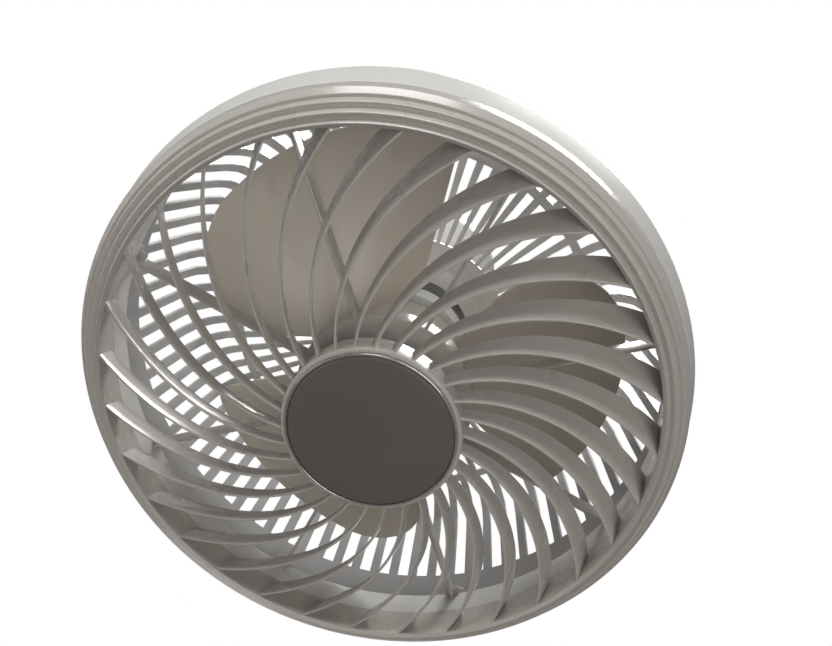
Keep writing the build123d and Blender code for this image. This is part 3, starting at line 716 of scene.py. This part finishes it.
def flatRing(inside, outside, innerRound):
    # Ring in the flat back; the outer corners are always rounded
    front, back, soft = bodyDepth - guard["wall"], bodyDepth, guard["ringRound"]
    return rounded([(outside, back, soft), (outside, front, soft),
                    (inside, front, innerRound), (inside, back, innerRound)])


def makeGuard():
    path = guardPath()
    sunk = guard["ribSunk"]
    side = cutPath(path, lambda p: p.y - guard["bandBack"] + sunk, lambda p: guard["ringOut"] - sunk - p.x)
    middle = bodyDepth - guard["wall"] / 2
    stations = (guard["ringIn"] + sunk, *guard["flatStations"], guard["plateOut"] - sunk)
    flat = [(Vector((r, middle)), Vector((0, -1))) for r in stations]
    parts = [
        lathe(bandProfile(bandPath(path)), guard["bandSegments"]),
        lathe(flatRing(guard["ringIn"], guard["ringOut"], guard["ringRound"]), guard["segments"]),
        lathe(flatRing(guard["plateIn"], guard["plateOut"], 0), guard["plateSegments"]),
    ]
    ribTurn = 360 / guard["ribs"] - guard["slotTurn"]
    sideRib, flatRib = ribAlong(side, ribTurn), ribAlong(flat, ribTurn)
    for k in range(guard["ribs"]):
        angle = 360 * (k + 0.5) / guard["ribs"]
        parts += [turned(sideRib, angle), turned(flatRib, angle)]
    half, low = guard["tabWide"] / 2, guard["tabFront"]
    high = low + guard["tabThick"]
    tab = softBox((guard["tabIn"], -half, low), (guard["tabOut"], half, high), guard["tabRound"])
    parts += [turned(tab, guard["tabAt"] + 360 * k / guard["tabs"]) for k in range(guard["tabs"])]
    finishMesh("rearBasket", *join(parts), "housing", "guard_plastic", ["rear_guard"])


makeGuard()
print("guard made")


# Impeller: hub cup and three blades

impeller = {
    "hub": 40, "hubFront": 74, "hubBack": 110, "wall": 2.5, "boss": 9, "bossBack": 98, "hubCorner": 4,
    "shaftRadius": 4, "hubSegments": 96, "noseRound": 3, "sideRound": 4, "hubEdgeRound": 0.8,
    "insideRound": 3, "bossRootRound": 1, "bossEdgeRound": 0.5,
    "blades": 3, "edgeAt": 291, "turn": 86, "rise": 44, "crown": 5, "back": 6, "thick": 2.4,
    # Turn of a blade's two edges from its leading line, at radii from the hub to the tip
    "straight": [(38, 21), (45, 10), (60, 0), (143, 0), (147.5, 0.8), (149.3, 2.4), (150, 5)],
    "lobe": [(38, 66), (56, 80), (72, 84.5), (88, 86), (103, 85.6), (118, 83), (130, 79), (140, 73.5),
             (146, 68), (149, 63.5), (150, 60)],
    "lobeSmooth": 3, "tipFrom": 144, "tipStations": [144.5, 146.5, 148, 149, 149.6, 150],
    "step": 4, "rows": 22, "edgeRound": 0.8, "edgeSteps": 3, "edgeAngle": 50,
}


def bladeDepth(turn):
    share = turn / impeller["turn"]
    flat = impeller["hubBack"] + impeller["back"] - impeller["rise"] * share
    return flat + impeller["crown"] * math.sin(math.pi * share)


def along(table, r):
    for (r0, v0), (r1, v1) in zip(table, table[1:]):
        if r <= r1:
            return v0 + (v1 - v0) * (r - r0) / (r1 - r0)
    return table[-1][1]


def smoothAlong(table, r, reach):
    return sum(along(table, min(max(r + s, table[0][0]), table[-1][0])) for s in (-reach, 0, reach)) / 3


def lobeTurn(r):
    # The outline bends too fast for smoothing at the tip
    lobe = impeller["lobe"]
    return along(lobe, r) if r > impeller["tipFrom"] else smoothAlong(lobe, r, impeller["lobeSmooth"])


def bladeSheet():
    # Curved sheet of faces, from the hub's wall to the tip
    root = impeller["straight"][0][0]
    stations = [*range(root, impeller["tipFrom"], impeller["step"]), *impeller["tipStations"]]
    rows = impeller["rows"]
    build = bmesh.new()
    verts = []
    for r in stations:
        near, far = along(impeller["straight"], r), lobeTurn(r)
        row = []
        for j in range(rows + 1):
            turn = near + (far - near) * j / rows
            angle = math.radians(impeller["edgeAt"] - turn)
            spot = (r * mm * math.cos(angle), r * mm * math.sin(angle), at(bladeDepth(turn)))
            row.append(build.verts.new(spot))
        verts.append(row)
    for inner, outer in zip(verts, verts[1:]):
        for j in range(rows):
            build.faces.new((inner[j], outer[j], outer[j + 1], inner[j + 1]))
    bmesh.ops.recalc_face_normals(build, faces=build.faces)
    mesh = bpy.data.meshes.new("bladeSheet")
    build.to_mesh(mesh)
    build.free()
    return mesh


def blade():
    # The sheet gets its thickness and round edges, and moves up so that its front face follows the sheet
    sheet = bpy.data.objects.new("bladeSheet", bladeSheet())
    scene.collection.objects.link(sheet)
    solid = sheet.modifiers.new("solid", "SOLIDIFY")
    solid.thickness = impeller["thick"] * mm
    solid.offset = 0
    soft = sheet.modifiers.new("soft", "BEVEL")
    soft.width = impeller["edgeRound"] * mm
    soft.segments = impeller["edgeSteps"]
    soft.limit_method = "ANGLE"
    soft.angle_limit = math.radians(impeller["edgeAngle"])
    bpy.context.view_layer.update()
    result = sheet.evaluated_get(bpy.context.evaluated_depsgraph_get()).to_mesh()
    lift = impeller["thick"] * mm / 2
    verts = [(v.co.x, v.co.y, v.co.z + lift) for v in result.vertices]
    faces = [tuple(face.vertices) for face in result.polygons]
    bpy.data.objects.remove(sheet)
    return verts, faces


def hubCup():
    hub, wall, boss, shaft = impeller["hub"], impeller["wall"], impeller["boss"], impeller["shaftRadius"]
    front, back, corner = impeller["hubFront"], impeller["hubBack"], impeller["hubCorner"]
    soft = impeller["hubEdgeRound"]
    return rounded([
        (0, front), (hub - corner, front, impeller["noseRound"]),
        (hub, front + corner, impeller["sideRound"]), (hub, back, soft), (hub - wall, back, soft),
        (hub - wall, front + wall, impeller["insideRound"]),
        (boss, front + wall, impeller["bossRootRound"]),
        (boss, impeller["bossBack"], impeller["bossEdgeRound"]),
        (shaft, impeller["bossBack"]), (shaft, front + wall),
    ], closed=False)


def makeImpeller():
    bladePart = blade()
    parts = [lathe(hubCup(), impeller["hubSegments"], closed=False)]
    parts += [turned(bladePart, 360 * k / impeller["blades"]) for k in range(impeller["blades"])]
    finishMesh("bladedRotor", *join(parts), "rotor", "blade_plastic", ["impeller"])


makeImpeller()
print("impeller made")


# Stage, lamps and camera, in metres

stage = {
    "floorZ": -1.75, "floorSize": 80, "floorRough": 0.7, "toneScale": 3, "toneDetail": 2,
    "floorColor": (0.50, 0.50, 0.49, 1), "floorShade": (0.49, 0.49, 0.48, 1),
    "bounceColor": (0.26, 0.25, 0.24, 1), "paleNear": 0.48, "paleFar": 0.97, "fadeFrom": 2.5, "fadeTo": 14.0,
}
# The camera's place in metres, its focal length and optical centre in pixels of the image
view = {
    "place": (0.0930, -0.1833, -0.6274), "right": (0.9871, 0.1010, 0.1244), "up": (0.0263, -0.8681, 0.4957),
    "focal": 676.6, "centre": (429.4, 430), "image": (832, 646), "sensor": 36, "clipStart": 0.02,
}


def makeStage():
    half = stage["floorSize"] / 2
    z = stage["floorZ"]
    mesh = bpy.data.meshes.new("floor")
    corners = [(-half, -half, z), (half, -half, z), (half, half, z), (-half, half, z)]
    mesh.from_pydata(corners, [], [(0, 1, 2, 3)])
    floor = bpy.data.objects.new("floor", mesh)
    scene.collection.objects.link(floor)
    material = bpy.data.materials.new("paleFloor")
    material.use_nodes = True
    nodes, links = material.node_tree.nodes, material.node_tree.links
    shader = nodes["Principled BSDF"]
    place = nodes.new("ShaderNodeTexCoord").outputs["Object"]
    tone = noise(nodes, links, place, stage["toneScale"], stage["toneDetail"])
    shade = mixColors(nodes, links, tone, stage["floorColor"], stage["floorShade"])
    seen = nodes.new("ShaderNodeLightPath").outputs["Is Camera Ray"]
    links.new(mixColors(nodes, links, seen, stage["bounceColor"], shade), shader.inputs["Base Color"])
    # The floor grows paler away from the fan, so that its far edge meets the pale background
    away = nodes.new("ShaderNodeVectorMath")
    away.operation = "LENGTH"
    links.new(place, away.inputs[0])
    fade = ramp(nodes, links, away.outputs["Value"], stage["fadeFrom"], stage["fadeTo"])
    near, far = ((stage[key],) * 3 + (1,) for key in ("paleNear", "paleFar"))
    glow = mixColors(nodes, links, seen, (0, 0, 0, 1), mixColors(nodes, links, fade, near, far))
    links.new(glow, shader.inputs["Emission Color"])
    shader.inputs["Emission Strength"].default_value = 1.0
    shader.inputs["Roughness"].default_value = stage["floorRough"]
    floor.data.materials.append(material)


sky = {"from": (-0.25, -0.95, 0.10), "low": 0.13, "high": 0.26, "start": -0.3, "end": 1.0,
       "lowColor": (0.96, 0.93, 0.90, 1), "highColor": (0.97, 0.98, 1.0, 1)}


def makeWorld():
    # Pale behind the fan, with a soft light that is strongest from the side that is up in the picture
    world = bpy.data.worlds.new("paleBackground")
    scene.world = world
    world.use_nodes = True
    nodes, links = world.node_tree.nodes, world.node_tree.links
    light = nodes["Background"]
    place = nodes.new("ShaderNodeTexCoord")
    toward = nodes.new("ShaderNodeVectorMath")
    toward.operation = "DOT_PRODUCT"
    links.new(place.outputs["Generated"], toward.inputs[0])
    toward.inputs[1].default_value = Vector(sky["from"]).normalized()
    share = ramp(nodes, links, toward.outputs["Value"], sky["start"], sky["end"])
    links.new(mixColors(nodes, links, share, sky["lowColor"], sky["highColor"]), light.inputs["Color"])
    span = mathNode(nodes, links, "MULTIPLY", share, sky["high"] - sky["low"])
    links.new(mathNode(nodes, links, "ADD", span, sky["low"]), light.inputs["Strength"])
    seen = nodes.new("ShaderNodeBackground")
    seen.inputs["Color"].default_value = (1, 1, 1, 1)
    seen.inputs["Strength"].default_value = 1.0
    path = nodes.new("ShaderNodeLightPath")
    mix = nodes.new("ShaderNodeMixShader")
    links.new(path.outputs["Is Camera Ray"], mix.inputs["Fac"])
    links.new(light.outputs[0], mix.inputs[1])
    links.new(seen.outputs[0], mix.inputs[2])
    links.new(mix.outputs[0], nodes["World Output"].inputs["Surface"])


lampAim = (0, 0, -0.25)
daylight, roomLight = (1.0, 1.0, 0.98), (1.0, 0.98, 0.96)
lamps = [
    {"name": "windowLamp", "place": (0.10, -1.65, -0.27), "size": 0.8, "power": 15.5, "color": daylight},
    {"name": "skylightLamp", "place": (0.45, -0.40, 1.45), "size": 0.7, "power": 54, "color": daylight},
    {"name": "roomLamp", "place": (0.62, -0.30, -1.50), "size": 0.8, "power": 6.2, "color": roomLight},
    {"name": "doorLamp", "place": (-1.30, -0.70, -0.45), "size": 0.8, "power": 3, "color": roomLight},
    {"name": "backLamp", "place": (-0.60, 1.30, 0.50), "aim": (0, 0, -0.2), "size": 1.0, "power": 8,
     "color": (1.0, 1.0, 1.0)},
]


def makeLamps():
    for lamp in lamps:
        data = bpy.data.lights.new(lamp["name"], "AREA")
        data.size = lamp["size"]
        data.energy = lamp["power"]
        data.color = lamp["color"]
        obj = bpy.data.objects.new(lamp["name"], data)
        scene.collection.objects.link(obj)
        obj.location = lamp["place"]
        toward = Vector(lamp.get("aim", lampAim)) - Vector(lamp["place"])
        obj.rotation_euler = toward.to_track_quat("-Z", "Y").to_euler()


def makeCamera():
    data = bpy.data.cameras.new("camera")
    data.sensor_fit = "HORIZONTAL"
    data.sensor_width = view["sensor"]
    wide, high = view["image"]
    data.lens = view["focal"] / wide * view["sensor"]
    data.shift_x = (wide / 2 - view["centre"][0]) / wide
    data.shift_y = (view["centre"][1] - high / 2) / wide
    data.clip_start = view["clipStart"]
    camera = bpy.data.objects.new("camera", data)
    scene.collection.objects.link(camera)
    right, up = Vector(view["right"]).normalized(), Vector(view["up"]).normalized()
    back = right.cross(up).normalized()
    turn = Matrix((right, up, back)).transposed().to_4x4()
    camera.matrix_world = Matrix.Translation(view["place"]) @ turn
    scene.camera = camera


makeStage()
makeWorld()
makeLamps()
makeCamera()
scene.view_settings.view_transform = "Standard"
print("stage, lamps and camera made")
